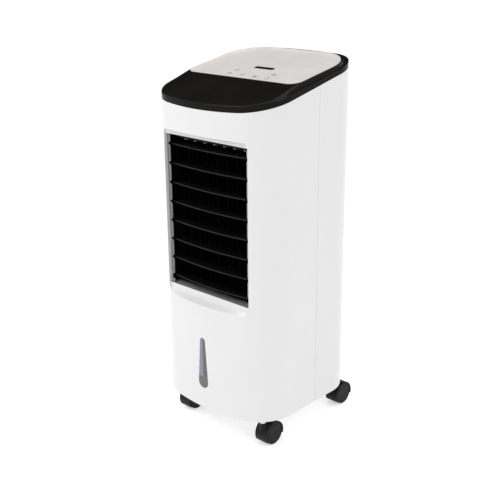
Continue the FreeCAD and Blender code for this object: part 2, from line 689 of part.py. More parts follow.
def make_carrier():
    """Black inner frame that carries the louvre pins and the vane pivots."""
    front = RAIL_Y + RAIL_T
    inner = RAIL_OUT - CARRIER_T
    rail_top = CARRIER_TOP_Z + CARRIER_TOP_T
    top = HEADER_Z - GAP
    pieces = []
    for side in (-1, 1):
        x0, x1 = sorted((side * inner, side * RAIL_OUT))
        pieces.append(block(x0, x1, front, CARRIER_REAR_Y, SILL_Z + GAP, top))
    pieces.append(block(-RAIL_OUT, RAIL_OUT, SILL_REAR_Y + 2, CARRIER_REAR_Y, CARRIER_LOW_Z,
                        CARRIER_LOW_Z + CARRIER_LOW_T))
    pieces.append(block(-RAIL_OUT, RAIL_OUT, SILL_REAR_Y - 2, CARRIER_REAR_Y, CARRIER_TOP_Z, rail_top))
    pieces.append(block(-RAIL_OUT, RAIL_OUT, SILL_REAR_Y - 2, SILL_REAR_Y, CARRIER_TOP_Z, top))
    holes = [rod(-FAR, LOUVRE_PIN_Y, z, LOUVRE_PIN_R + RUN, 2 * FAR, X) for z in PIN_Z]
    holes += [rod(x, VANE_Y, CARRIER_LOW_Z - 1, VANE_PIN_R + RUN, top) for x in VANE_X]
    holes.append(rod(CRANK_X, VANE_Y, CARRIER_LOW_Z - 1, MOTOR_SHAFT_R + GAP, CARRIER_LOW_T + 2))
    space = upright(RAIL_OUT, CARRIER_LOW_Z, top, 0, OUT_R_TOP - GAP, FRONT_Y, 0)
    return fuse(*pieces).cut(holes).common(space)


def make_vane(x):
    """Upright blade with pivot pins above and below and a crank pin under its rear edge."""
    low = CARRIER_LOW_Z + CARRIER_LOW_T + LINK_T + 3
    high = CARRIER_TOP_Z - 4
    y0 = VANE_Y - VANE_CHORD / 2
    blade = block(x - VANE_T / 2, x + VANE_T / 2, y0, y0 + VANE_CHORD, low, high)
    pivot = rod(x, VANE_Y, CARRIER_LOW_Z + 1, VANE_PIN_R, CARRIER_TOP_Z + 3 - CARRIER_LOW_Z)
    crank = rod(x, VANE_Y + VANE_CRANK, low - LINK_T - 2, LINK_PIN_R, LINK_T + 6)
    return fuse(blade, pivot, crank)


def make_vane_link():
    z0 = CARRIER_LOW_Z + CARRIER_LOW_T + 1.2
    y = VANE_Y + VANE_CRANK
    reach = VANE_X[-1] + LINK_W / 2
    bar = block(-reach, reach, y - LINK_W / 2, y + LINK_W / 2, z0, z0 + LINK_T)
    return bar.cut([rod(x, y, z0 - 1, LINK_PIN_R + RUN, LINK_T + 2) for x in VANE_X + [CRANK_X]])


def make_bushes():
    """Pale bushes under the top rail, one round each vane's upper pin."""
    bushes = []
    for x in VANE_X:
        bush = block(x - BUSH_W / 2, x + BUSH_W / 2, SILL_REAR_Y + 1, VANE_Y + 4, CARRIER_TOP_Z - BUSH_H,
                     CARRIER_TOP_Z)
        bushes.append(bush.cut(rod(x, VANE_Y, CARRIER_TOP_Z - 5, VANE_PIN_R + RUN, 8)))
    return Part.makeCompound(bushes)


def make_swing_motor():
    body = rod(CRANK_X, VANE_Y, CARRIER_LOW_Z - MOTOR_H, MOTOR_R, MOTOR_H)
    ears = block(CRANK_X - MOTOR_R - 6, CRANK_X + MOTOR_R + 6, VANE_Y - 4, VANE_Y + 4, CARRIER_LOW_Z - 1.2,
                 CARRIER_LOW_Z)
    return fuse(body, ears).cut(rod(CRANK_X, VANE_Y, CARRIER_LOW_Z - 12, MOTOR_SHAFT_R + RUN, 20))


def make_swing_crank():
    """Motor shaft and the arm whose pin drives the vane link."""
    link_top = CARRIER_LOW_Z + CARRIER_LOW_T + 1.2 + LINK_T
    arm_z = link_top + 0.4
    shaft = rod(CRANK_X, VANE_Y, CARRIER_LOW_Z - 11, MOTOR_SHAFT_R, arm_z + 2 - CARRIER_LOW_Z + 11)
    arm = block(CRANK_X - 2.5, CRANK_X + 2.5, VANE_Y, VANE_Y + VANE_CRANK, arm_z, arm_z + 2)
    hub = rod(CRANK_X, VANE_Y, arm_z, 3.5, 2)
    tip = rod(CRANK_X, VANE_Y + VANE_CRANK, arm_z, 2.5, 2)
    pin = rod(CRANK_X, VANE_Y + VANE_CRANK, arm_z - LINK_T - 1.2, LINK_PIN_R, LINK_T + 2)
    return fuse(shaft, arm, hub, tip, pin)


# ---- fan -------------------------------------------------------------------

def scroll_wall(side):
    """Curved wall beside the drum that runs forward to the outlet, seen from above."""
    r = FAN_R + SCROLL_GAP
    height = HOUSING_Z1 - HOUSING_Z0
    start = math.radians(40)
    end = math.radians(-20)
    arcs = []
    for radius in (r, r + HOUSING_T):
        points = [Vector(side * radius * math.cos(a), FAN_Y + radius * math.sin(a), HOUSING_Z0)
                  for a in (start, (start + end) / 2, end)]
        arcs.append(points)
    mouth_x = RAIL_OUT - CARRIER_T - 1
    mouth = Vector(side * mouth_x, CARRIER_REAR_Y + GAP, HOUSING_Z0)
    mouth_out = Vector(side * (mouth_x + HOUSING_T), CARRIER_REAR_Y + GAP, HOUSING_Z0)
    inner, outer = arcs
    edges = [Part.Arc(*inner), Part.LineSegment(inner[2], mouth), Part.LineSegment(mouth, mouth_out),
             Part.LineSegment(mouth_out, outer[2]), Part.Arc(*reversed(outer)),
             Part.LineSegment(outer[0], inner[0])]
    return Part.Face(Part.Wire([edge.toShape() for edge in edges])).extrude(Vector(0, 0, height))


def housing_plate(z):
    half = RAIL_OUT - CARRIER_T + 1.5
    front = CARRIER_REAR_Y + GAP
    rear = FAN_Y + FAN_R + 8
    corners = [(Vector(-half, front, z), 0), (Vector(half, front, z), 0), (Vector(half - 15, rear, z), 20),
               (Vector(-half + 15, rear, z), 20)]
    return rounded_face(corners).extrude(Vector(0, 0, HOUSING_T))


def make_housing():
    deck = DECK_Z + DECK_T
    leg_places = [(side * (FAN_R + LEG_OUT), y) for side in (-1, 1) for y in (LEG_FRONT_Y, LEG_REAR_Y)]
    legs = [rod(x, y, deck, LEG_R, HOUSING_Z0 - deck) for x, y in leg_places]
    plates = [housing_plate(HOUSING_Z0), housing_plate(HOUSING_Z1 - HOUSING_T)]
    body = fuse(scroll_wall(1), scroll_wall(-1), *(plates + legs))
    bores = [rod(0, FAN_Y, HOUSING_Z0 - 1, BEARING_R, HOUSING_T + 2),
             rod(0, FAN_Y, HOUSING_Z1 - HOUSING_T - 1, FAN_SHAFT_R + 2, HOUSING_T + 2)]
    return body.cut(bores)


def make_fan():
    """Cross-flow drum: five discs, curved-pitch blades and one through shaft."""
    step = (FAN_Z1 - FAN_Z0 - FAN_DISC_T) / (FAN_DISCS - 1)
    pieces = [rod(0, FAN_Y, FAN_Z0 + step * k, FAN_R, FAN_DISC_T) for k in range(FAN_DISCS)]
    for k in range(FAN_BLADES):
        blade = block(FAN_R - 10, FAN_R - 1, -0.6, 0.6, FAN_Z0, FAN_Z1)
        blade.rotate(Vector(FAN_R - 5, 0, 0), Z, 35)
        blade.rotate(Vector(0, 0, 0), Z, 360 * k / FAN_BLADES)
        blade.translate(Vector(0, FAN_Y, 0))
        pieces.append(blade)
    low = HOUSING_Z0 - 1
    high = HOUSING_Z1 + FAN_MOTOR_H - 6
    pieces.append(rod(0, FAN_Y, low, FAN_SHAFT_R, high - low))
    return fuse(*pieces)


def make_fan_motor():
    body = rod(0, FAN_Y, HOUSING_Z1, FAN_MOTOR_R, FAN_MOTOR_H)
    ears = [rod(x, FAN_Y, HOUSING_Z1, 7, 3) for x in (-FAN_MOTOR_R - 3, FAN_MOTOR_R + 3)]
    return fuse(body, *ears).cut(rod(0, FAN_Y, HOUSING_Z1 - 1, FAN_SHAFT_R + RUN, FAN_MOTOR_H - 3))


def make_bearing():
    sleeve = rod(0, FAN_Y, HOUSING_Z0 - 2, BEARING_R, HOUSING_T + 3)
    flange = rod(0, FAN_Y, HOUSING_Z0 - 2, BEARING_R + 3, 2)
    return fuse(sleeve, flange).cut(rod(0, FAN_Y, HOUSING_Z0 - 3, FAN_SHAFT_R + RUN, 20))


# ---- water -----------------------------------------------------------------

def tank_volume(inset, floor):
    half = TANK_W / 2 - inset
    y0 = TANK_FRONT_Y + inset
    r = TANK_CORNER_R - inset
    corners = [(Vector(-half, y0, floor), r), (Vector(half, y0, floor), r), (Vector(half, REAR_Y + 9, floor), 0),
               (Vector(-half, REAR_Y + 9, floor), 0)]
    return rounded_face(corners).extrude(Vector(0, 0, TANK_Z1 - floor))


def make_tank():
    """Open-topped drawer; its rear wall carries the flush face with a finger slot."""
    box = tank_volume(0, TANK_Z0).common(prism(WALL / 2, TANK_Z0, TANK_Z1))
    face = ring(0, WALL, TANK_Z0, TANK_FACE_Z1 + 1)
    face = face.common(door(TANK_FACE_W / 2, TANK_Z0, TANK_FACE_Z1, DOOR_R - FACE_GAP))
    hollow = tank_volume(TANK_WALL, TANK_Z0 + TANK_WALL).common(prism(WALL, TANK_Z0, TANK_Z1 + 1))
    pull = door(PULL_W / 2, PULL_Z - PULL_H / 2, PULL_Z + PULL_H / 2, PULL_H / 3)
    drain = rod(DRAIN_X, DOOR_IN, TANK_Z0 + DRAIN_RISE, DRAIN_R, DOOR_OUT - DOOR_IN, Y)
    return fuse(box.cut(ring(0, WALL, TANK_Z0 - 1, TANK_Z1 + 1)), face).cut([hollow, pull, drain])


def make_drain_plug():
    seat_y = rear_y(abs(DRAIN_X) - DRAIN_HEAD_R) + RUN
    shank = rod(DRAIN_X, seat_y - 2 * WALL, TANK_Z0 + DRAIN_RISE, DRAIN_R, 2 * WALL + 1, Y)
    head = rod(DRAIN_X, seat_y, TANK_Z0 + DRAIN_RISE, DRAIN_HEAD_R, DRAIN_HEAD_T, Y)
    return fuse(shank, head)


def make_deck():
    """Partition between the tank space and the air space, slotted for the water that drips back."""
    plate = prism(WALL + SEAM_LIP + GAP, DECK_Z, DECK_Z + DECK_T)
    half = PAD_W / 2 - 7.5
    drip = block(-half, half, PAD_Y0 - 2, PAD_Y0 + PAD_T, DECK_Z - 1, DECK_Z + 5)
    hose_x, hose_y = HOSE_ROUTE[0]
    hose = rod(hose_x + 3.5, hose_y + 2, DECK_Z - 1, HOSE_R + 4, 5)
    return plate.cut([drip, hose])


def make_pump():
    low = TANK_Z0 + TANK_WALL + GAP
    w = PUMP_W / 2
    top = low + PUMP_H
    body = block(PUMP_X - w, PUMP_X + w, PUMP_Y - w + 2, PUMP_Y + w - 2, low, top)
    hanger = block(PUMP_X - w, PUMP_X - w + 6, PUMP_Y - 6, PUMP_Y + 6, top, DECK_Z)
    hose_x, hose_y = HOSE_ROUTE[0]
    spout = rod(hose_x, hose_y, top, HOSE_R, SPOUT_H)
    slots = [block(PUMP_X - w - 1, PUMP_X - w + 2, y, y + 2, low + 5, low + 25)
             for y in range(int(PUMP_Y - w + 8), int(PUMP_Y + w - 8), 5)]
    return fuse(body, hanger, spout).cut(slots)


def make_hose():
    """Hose from the pump's spout to the tray's nozzle: straight runs joined by tangent arcs."""
    low = TANK_Z0 + TANK_WALL + GAP + PUMP_H + SPOUT_H
    high = TRAY_Z - NOZZLE_H
    route = [Vector(*HOSE_ROUTE[0], low), Vector(*HOSE_ROUTE[1]), Vector(*HOSE_ROUTE[2]),
             Vector(*HOSE_ROUTE[3], high)]
    edges = []
    last = route[0]
    length = 0
    for before, point, after in zip(route, route[1:], route[2:]):
        back = before - point
        ahead = after - point
        half = back.getAngle(ahead) / 2
        run = 0.45 * min(back.Length, ahead.Length)
        radius = run * math.tan(half)
        print("hose bend radius", round(radius, 1))
        back.normalize()
        ahead.normalize()
        start = point + back * run
        end = point + ahead * run
        middle = point + (back + ahead).normalize() * (radius / math.sin(half) - radius)
        edges += [Part.LineSegment(last, start).toShape(), Part.Arc(start, middle, end).toShape()]
        last = end
    edges.append(Part.LineSegment(last, route[-1]).toShape())
    path = Part.Wire(edges)
    section = Part.Wire(Part.makeCircle(HOSE_R, route[0], route[1] - route[0]))
    hose = path.makePipeShell([section], True, False)
    print("hose length", round(path.Length, 1), "volume ratio",
          round(hose.Volume / (math.pi * HOSE_R ** 2 * path.Length), 4))
    return hose


def make_tray():
    """Trough over the pad, with drip holes, a hose nozzle and a flange back to the casing."""
    wall = TRAY_T
    top = TRAY_Z + TRAY_H
    trough = block(TRAY_X0, TRAY_X1, TRAY_Y0, TRAY_Y1, TRAY_Z, top)
    hollow = block(TRAY_X0 + wall, TRAY_X1 - wall, TRAY_Y0 + wall, TRAY_Y1 - wall, TRAY_Z + wall, top + 1)
    flange = block(-TRAY_HANGER_X, TRAY_HANGER_X, TRAY_Y1 - wall, REAR_Y, GRILLE_Z1 + 2, GRILLE_Z1 + 5)
    flange = flange.common(prism(WALL + GAP, GRILLE_Z1, GRILLE_Z1 + 9))
    web = block(-TRAY_HANGER_X, TRAY_HANGER_X, TRAY_Y1 - wall, TRAY_Y1, TRAY_Z + 2, GRILLE_Z1 + 5)
    hose_x, hose_y = HOSE_ROUTE[3]
    nozzle = rod(hose_x, hose_y, TRAY_Z - NOZZLE_H, HOSE_R, NOZZLE_H)
    bore = rod(hose_x, hose_y, TRAY_Z - NOZZLE_H, HOSE_R - 1.6, NOZZLE_H + 4)
    count = int((PAD_W - 10) / DRIP_PITCH)
    places = [DRIP_PITCH * (k - count / 2) for k in range(count + 1)]
    drips = [rod(x, (TRAY_Y0 + TRAY_Y1) / 2, TRAY_Z - 1, 1.5, 5) for x in places]
    return fuse(trough.cut(hollow), web, flange, nozzle).cut([bore] + drips)


def make_pad():
    half = PAD_W / 2
    return block(-half, half, PAD_Y0, PAD_Y0 + PAD_T, PAD_Z0 + GAP, PAD_Z1 - GAP)


def make_pad_frame():
    """Frame round the pad and the mesh, with four posts that clip to the rear grille."""
    half = PAD_W / 2 + GAP
    t = PAD_FRAME_T
    rear = PAD_Y0 + PAD_T + MESH_T + 2
    outer = block(-half - t, half + t, PAD_Y0 - 1, rear, PAD_Z0 - t, PAD_Z1 + t)
    frame = outer.cut(block(-half, half, PAD_Y0 - 5, rear + 5, PAD_Z0, PAD_Z1))
    bars = []
    for k in range(1, PAD_BARS):
        z = PAD_Z0 + (PAD_Z1 - PAD_Z0) * k / PAD_BARS
        x = PAD_W * (k / PAD_BARS - 0.5)
        bars.append(block(-half, half, PAD_Y0 - 1, PAD_Y0 - GAP, z - 2, z + 2))
        bars.append(block(x - 2, x + 2, PAD_Y0 - 1, PAD_Y0 - GAP, PAD_Z0, PAD_Z1))
    posts = []
    for x in (-half + 4, half - 4):
        for z in (PAD_Z0 - t, PAD_Z1 - 8 + t):
            posts.append(block(x - 8, x + 8, rear - 1, REAR_Y, z, z + t).common(prism(WALL, 0, FAR * 2)))
    return fuse(frame, *(bars + posts))


def make_mesh():
    half = PAD_W / 2
    y = PAD_Y0 + PAD_T + GAP
    return block(-half, half, y, y + MESH_T, PAD_Z0 + GAP, PAD_Z1 - GAP)


def make_grille():
    """Flush rear panel with two columns of intake slots."""
    panel = ring(0, WALL, GRILLE_Z0, GRILLE_Z1)
    panel = panel.common(door(GRILLE_W / 2, GRILLE_Z0 + FACE_GAP, GRILLE_Z1 - FACE_GAP, DOOR_R - FACE_GAP))
    slots = []
    z = PAD_Z0 + 10
    while z + SLOT_H < PAD_Z1 - 4:
        for side in (-1, 1):
            x0, x1 = sorted((side * SLOT_BAR / 2, side * (SLOT_BAR / 2 + SLOT_W)))
            slots.append(block(x0, x1, DOOR_IN, DOOR_OUT, z, z + SLOT_H))
        z += SLOT_PITCH
    return panel.cut(slots)


def make_latch():
    y0 = REAR_Y + GAP
    hub = rod(0, y0, LATCH_Z, LATCH_R, LATCH_T, Y)
    arm = block(0, LATCH_L - LATCH_R, y0, y0 + LATCH_T, LATCH_Z - LATCH_R + 1, LATCH_Z + LATCH_R - 1)
    tip = rod(LATCH_L - LATCH_R, y0, LATCH_Z, LATCH_R - 1, LATCH_T, Y)
    pin = rod(0, REAR_Y - WALL - 4, LATCH_Z, LATCH_PIN_R, 4 + WALL + GAP, Y)
    keeper = rod(0, REAR_Y - WALL - 4, LATCH_Z, LATCH_PIN_R + 2.5, 3, Y)
    return fuse(hub, arm, tip, pin, keeper)


def make_gland():
    y0 = REAR_Y - WALL - GLAND_IN
    sleeve = rod(GLAND_X, y0, GLAND_Z, GLAND_R, GLAND_L, Y)
    flange = rod(GLAND_X, REAR_Y - 1.4, GLAND_Z, GLAND_FLANGE_R, y0 + GLAND_L - REAR_Y + 1.4, Y)
    nut = rod(GLAND_X, y0, GLAND_Z, GLAND_FLANGE_R, 5, Y)
    return fuse(sleeve, flange, nut).cut(rod(GLAND_X, y0 - 1, GLAND_Z, GLAND_BORE_R, GLAND_L + 2, Y))


# ---- castors ---------------------------------------------------------------

def make_hood(x, y):
    """Swivel body: hood over the wheel pair, centre web, boss and stem."""
    wheel_y = y + TRAIL
    half = WHEEL_GAP / 2 + WHEEL_T
    r_in = WHEEL_R + 0.7
    r_out = r_in + HOOD_WALL
    web = WHEEL_GAP / 2 - 0.5
    drum = rod(x - half - 0.5, wheel_y, WHEEL_R, r_out, 2 * half + 1, X)
    edge = [Vector(x - FAR, wheel_y - r_out, HOOD_FRONT_Z), Vector(x - FAR, wheel_y + r_out, HOOD_REAR_Z),
            Vector(x - FAR, wheel_y + r_out, FAR), Vector(x - FAR, wheel_y - r_out, FAR)]
    drum = drum.common(Part.Face(Part.makePolygon(edge + edge[:1])).extrude(Vector(2 * FAR, 0, 0)))
    boss = rod(x, y, WHEEL_R + 10, BOSS_R, HOOD_TOP_Z - WHEEL_R - 10)
    pockets = [rod(x + web, wheel_y, WHEEL_R, r_in, half + 5, X),
               rod(x - web - half - 5, wheel_y, WHEEL_R, r_in, half + 5, X)]
    stem = rod(x, y, HOOD_TOP_Z - 1, STEM_R, SOCKET_DEPTH - 0.2)
    bore = rod(x - web - 1, wheel_y, WHEEL_R, AXLE_R + RUN, 2 * web + 2, X)
    return fuse(fuse(drum, boss).cut(pockets), stem).cut(bore)


def make_wheels(x, y):
    wheel_y = y + TRAIL
    wheels = []
    for side in (-1, 1):
        outer_x = x + side * (WHEEL_GAP / 2 + WHEEL_T)
        x0 = min(x + side * WHEEL_GAP / 2, outer_x)
        wheel = rod(x0, wheel_y, WHEEL_R, WHEEL_R, WHEEL_T, X)
        groove = rod(outer_x - GROOVE_DEPTH, wheel_y, WHEEL_R, GROOVE_R, 2 * GROOVE_DEPTH, X)
        groove = groove.cut(rod(outer_x - GROOVE_DEPTH, wheel_y, WHEEL_R, GROOVE_R - GROOVE_W, 2, X))
        wheels.append(wheel.cut([groove, rod(x0 - 1, wheel_y, WHEEL_R, AXLE_R, WHEEL_T + 2, X)]))
    return Part.makeCompound(wheels)


def make_axle(x, y):
    half = WHEEL_GAP / 2 + WHEEL_T - 0.5
    return rod(x - half, y + TRAIL, WHEEL_R, AXLE_R, 2 * half, X)


# ---- all nodes -------------------------------------------------------------

def build():
    parts = {
        "front_shell": make_front_shell(), "rear_shell": make_rear_shell(), "base_plate": make_base(),
        "case_screws": make_screws(), "top_cap": make_cap(), "control_panel": make_panel(),
        "control_board": make_board(), "display_window": make_display(), "water_window": make_gauge(),
        "outlet_frame": make_outlet_frame(), "vane_carrier": make_carrier(), "vane_bushes": make_bushes(),
        "louvre_link": make_louvre_link(), "vane_link": make_vane_link(),
        "swing_motor": make_swing_motor(), "swing_crank": make_swing_crank(),
        "fan_housing": make_housing(), "fan_drum": make_fan(), "fan_motor": make_fan_motor(),
        "drum_bearing": make_bearing(), "water_tank": make_tank(), "drain_plug": make_drain_plug(),
        "deck": make_deck(), "water_pump": make_pump(), "pump_hose": make_hose(), "drip_tray": make_tray(),
        "cooling_pad": make_pad(), "pad_frame": make_pad_frame(), "dust_mesh": make_mesh(),
        "rear_grille": make_grille(), "tank_latch": make_latch(), "cord_gland": make_gland(),
    }
    for k, z in enumerate(PIN_Z, 1):
        parts["louvre_%d" % k] = make_louvre(z)
    for k, x in enumerate(VANE_X, 1):
        parts["vane_%d" % k] = make_vane(x)
    for name, (x, y) in castor_places().items():
        parts["castor_hood_" + name] = make_hood(x, y)
        parts["castor_wheels_" + name] = make_wheels(x, y)
        parts["castor_axle_" + name] = make_axle(x, y)
    return parts


def main():
    os.makedirs("parts", exist_ok=True)
    for name, shape in build().items():
        shape.exportStep("parts/" + name + ".step")
        print(name, len(shape.Solids), "valid" if shape.isValid() else "INVALID", round(shape.Volume / 1000, 2))


main()
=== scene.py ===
import json
import math

import bmesh
import bpy
from mathutils import Matrix, Vector

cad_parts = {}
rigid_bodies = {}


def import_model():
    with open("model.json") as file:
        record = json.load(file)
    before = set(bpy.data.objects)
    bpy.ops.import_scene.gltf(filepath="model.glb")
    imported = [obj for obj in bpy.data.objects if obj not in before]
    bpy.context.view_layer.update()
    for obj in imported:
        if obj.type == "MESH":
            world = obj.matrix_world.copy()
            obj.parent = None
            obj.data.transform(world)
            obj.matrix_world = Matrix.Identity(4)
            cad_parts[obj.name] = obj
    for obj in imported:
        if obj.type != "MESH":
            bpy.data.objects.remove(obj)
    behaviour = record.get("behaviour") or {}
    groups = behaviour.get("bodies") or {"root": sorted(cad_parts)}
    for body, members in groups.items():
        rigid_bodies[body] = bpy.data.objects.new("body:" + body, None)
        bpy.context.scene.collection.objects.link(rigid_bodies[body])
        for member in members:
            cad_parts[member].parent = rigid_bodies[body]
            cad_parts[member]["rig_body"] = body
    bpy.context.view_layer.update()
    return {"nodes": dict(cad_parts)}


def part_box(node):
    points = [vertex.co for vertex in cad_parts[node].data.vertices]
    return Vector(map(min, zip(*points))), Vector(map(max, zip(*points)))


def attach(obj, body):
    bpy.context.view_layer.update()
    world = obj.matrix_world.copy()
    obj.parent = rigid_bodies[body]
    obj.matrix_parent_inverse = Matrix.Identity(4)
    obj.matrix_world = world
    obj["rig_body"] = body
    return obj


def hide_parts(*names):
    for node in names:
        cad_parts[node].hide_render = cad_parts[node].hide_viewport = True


# Evaporative tower cooler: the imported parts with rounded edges, small details and their finishes.
# Metres, +Z up; the air outlet faces -Y.

MM = 0.001
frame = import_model()
NODES = frame["nodes"]

JOIN_GAP = 0.002 * MM
FLAT_TURN = math.radians(0.6)
CREASE_TURN = math.radians(38)
EDGE_TURN = 40


# ---- shapes ----------------------------------------------------------------

def new_piece(name, shape):
    """Object with the finished bmesh in it, at the origin, smooth except over sharp edges."""
    mesh = bpy.data.meshes.new(name)
    shape.to_mesh(mesh)
    shape.free()
    mesh.shade_smooth()
    mesh.set_sharp_from_angle(angle=CREASE_TURN)
    piece = bpy.data.objects.new(name, mesh)
    bpy.context.scene.collection.objects.link(piece)
    return piece


def joined_shape(node_name):
    """The CAD part as one bmesh: its loose triangles joined and its flat areas made whole."""
    shape = bmesh.new()
    shape.from_mesh(NODES[node_name].data)
    bmesh.ops.remove_doubles(shape, verts=shape.verts, dist=JOIN_GAP)
    bmesh.ops.dissolve_degenerate(shape, dist=JOIN_GAP, edges=shape.edges)
    bmesh.ops.dissolve_limit(shape, angle_limit=FLAT_TURN, verts=shape.verts, edges=shape.edges)
    return shape


def sharp_edges(shape, least_angle):
    """Outward edges that turn by more than least_angle, in radians."""
    edges = []
    for edge in shape.edges:
        if len(edge.link_faces) == 2 and edge.is_convex and edge.calc_face_angle() > least_angle:
            edges.append(edge)
    return edges


def round_edges(shape, edges, radius, segments):
    bmesh.ops.bevel(shape, geom=edges, offset=radius, affect="EDGES", segments=segments,
                    profile=0.5, material=-1, clamp_overlap=False, loop_slide=True)


def rounded_part(node_name, radius):
    """A CAD part with its edges rounded as they come out of the mould."""
    shape = joined_shape(node_name)
    edges = sharp_edges(shape, math.radians(EDGE_TURN))
    if edges:
        round_edges(shape, edges, radius, 2)
    return stand_for(node_name, shape)


def stand_for(node_name, shape):
    """Puts a finished shape in place of its CAD part, on the same body."""
    piece = new_piece(node_name + "_formed", shape)
    weigh = piece.modifiers.new("even_faces", "WEIGHTED_NORMAL")
    weigh.keep_sharp = True
    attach(piece, NODES[node_name]["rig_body"])
    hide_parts(node_name)
    return piece


def box_shape(shape, low, high):
    """Adds a block between two corners and returns its vertices."""
    size = high - low
    place = Matrix.Translation((low + high) / 2) @ Matrix.Diagonal((*size, 1))
    return bmesh.ops.create_cube(shape, size=1, matrix=place)["verts"]


# ---- materials -------------------------------------------------------------

def linear(hex_colour):
    """Linear RGBA of an sRGB hex colour."""
    channels = []
    for i in (1, 3, 5):
        value = int(hex_colour[i:i + 2], 16) / 255
        channels.append(value / 12.92 if value <= 0.04045 else ((value + 0.055) / 1.055) ** 2.4)
    return (*channels, 1)


def add(tree, kind, settings=None, values=None, links=None):
    """Adds a node: settings are its properties, values its sockets, links its inputs."""
    node = tree.nodes.new("ShaderNode" + kind)
    for name, value in (settings or {}).items():
        setattr(node, name, value)
    for name, value in (values or {}).items():
        node.inputs[name].default_value = value
    for name, socket in (links or {}).items():
        tree.links.new(socket, node.inputs[name])
    return node


def start_material(name):
    """Empty material, and the part's own coordinates in metres."""
    material = bpy.data.materials.new(name)
    material.use_nodes = True
    tree = material.node_tree
    tree.nodes.clear()
    place = add(tree, "TexCoord").outputs["Object"]
    return material, tree, place


def end_material(tree, shader):
    output = add(tree, "OutputMaterial")
    tree.links.new(shader.outputs[0], output.inputs["Surface"])


def noise(tree, place, size_mm, detail=3.0, roughness=0.5):
    """Noise whose blobs are about size_mm across."""
    values = {"Scale": 1 / (size_mm * MM), "Detail": detail, "Roughness": roughness}
    return add(tree, "TexNoise", values=values, links={"Vector": place})


def between(tree, factor, low, high):
    """Remaps a 0 to 1 socket to low..high."""
    values = {"To Min": low, "To Max": high}
    return add(tree, "MapRange", values=values, links={"Value": factor}).outputs[0]


def two_tones(tree, factor, dark, light, low=0.3, high=0.7):
    ramp = add(tree, "ValToRGB", links={"Fac": factor})
    ramp.color_ramp.elements[0].position = low
    ramp.color_ramp.elements[0].color = linear(dark)
    ramp.color_ramp.elements[1].position = high
    ramp.color_ramp.elements[1].color = linear(light)
    return ramp.outputs[0]


# Widths of the faint patches in a moulding's colour and in its gloss.
CLOUD_MM = 90
GLOSS_MM = 35


def moulded(name, dark, light, low_rough, high_rough, grain_mm, depth_mm, ior=1.53, specular=0.5):
    """Moulded plastic: cloudy colour, uneven gloss and the tool's grain.

    grain_mm is the width of a polished tool's ripple, or an eroded tool's grain: that one is
    really about 0.1 mm, and is drawn coarser so that it shows.
    """
    material, tree, place = start_material(name)
    cloud = noise(tree, place, CLOUD_MM)
    grain = noise(tree, place, grain_mm, detail=2)
    colour = two_tones(tree, cloud.outputs["Fac"], dark, light)
    gloss = between(tree, noise(tree, place, GLOSS_MM).outputs["Fac"], low_rough, high_rough)
    bump = add(tree, "Bump", values={"Strength": 1.0, "Distance": depth_mm * MM},
               links={"Height": grain.outputs["Fac"]})
    shader = add(tree, "BsdfPrincipled", values={"IOR": ior, "Specular IOR Level": specular},
                 links={"Base Color": colour, "Roughness": gloss, "Normal": bump.outputs[0]})
    end_material(tree, shader)
    return material


def white_abs_moulded():
    """Casing ABS, gloss tool: nearly even white, with a faint orange-peel ripple 5 mm across."""
    return moulded("white_abs_moulded", "#EFEEED", "#F1F0EF", 0.26, 0.36, 5.0, 0.004)


def black_abs_polished():
    """Cap ABS, mirror-polished tool: deep warm black with clear highlights and little haze."""
    return moulded("black_abs_polished", "#151410", "#1B1A16", 0.06, 0.11, 9.0, 0.002,
                   specular=0.06)


def black_abs_grained():
    """Louvres and carrier, spark-eroded ABS: dull black that only lights up along its edges."""
    return moulded("black_abs_grained", "#030303", "#060607", 0.4, 0.52, 0.9, 0.03,
                   specular=0.2)


def black_abs_matt():
    """Vanes, fan drum and scroll, coarse spark-eroded ABS: soot black, so the inside stays dark."""
    return moulded("black_abs_matt", "#020202", "#040404", 0.6, 0.75, 1.4, 0.05, specular=0.06)


def silver_abs_painted():
    """Outlet trim, ABS sprayed silver-grey: satin, its flake drawn 1.2 mm so that it shows."""
    material, tree, place = start_material("silver_abs_painted")
    flake = add(tree, "TexVoronoi", values={"Scale": 1 / (1.2 * MM)}, links={"Vector": place})
    colour = two_tones(tree, flake.outputs["Distance"], "#7F7F7D", "#939391", 0.1, 0.9)
    gloss = between(tree, noise(tree, place, 12).outputs["Fac"], 0.34, 0.46)
    bump = add(tree, "Bump", values={"Strength": 0.4, "Distance": 0.01 * MM},
               links={"Height": flake.outputs["Distance"]})
    shader = add(tree, "BsdfPrincipled", values={"Metallic": 0.25, "IOR": 1.5},
                 links={"Base Color": colour, "Roughness": gloss, "Normal": bump.outputs[0]})
    end_material(tree, shader)
    return material


def pearl_abs_painted():
    """Control panel, ABS sprayed pearl under a clear coat: warm grey, sparkle drawn 0.8 mm."""
    material, tree, place = start_material("pearl_abs_painted")
    flake = add(tree, "TexVoronoi", values={"Scale": 1 / (0.8 * MM)}, links={"Vector": place})
    sparkle = two_tones(tree, flake.outputs["Distance"], "#DAD6D1", "#E5E1DD", 0.05, 0.8)
    cloud = two_tones(tree, noise(tree, place, 60).outputs["Fac"], "#F6F5F4", "#FFFFFF")
    colour = add(tree, "Mix", {"data_type": "RGBA", "blend_type": "MULTIPLY"},
                 values={"Factor": 1.0}, links={"A": sparkle, "B": cloud})
    gloss = between(tree, noise(tree, place, 20).outputs["Fac"], 0.32, 0.42)
    bump = add(tree, "Bump", values={"Strength": 0.3, "Distance": 0.006 * MM},
               links={"Height": flake.outputs["Distance"]})
    shader = add(tree, "BsdfPrincipled",
                 values={"IOR": 1.5, "Coat Weight": 0.25, "Coat Roughness": 0.12},
                 links={"Base Color": colour.outputs["Result"], "Roughness": gloss,
                        "Normal": bump.outputs[0]})
    end_material(tree, shader)
    return material


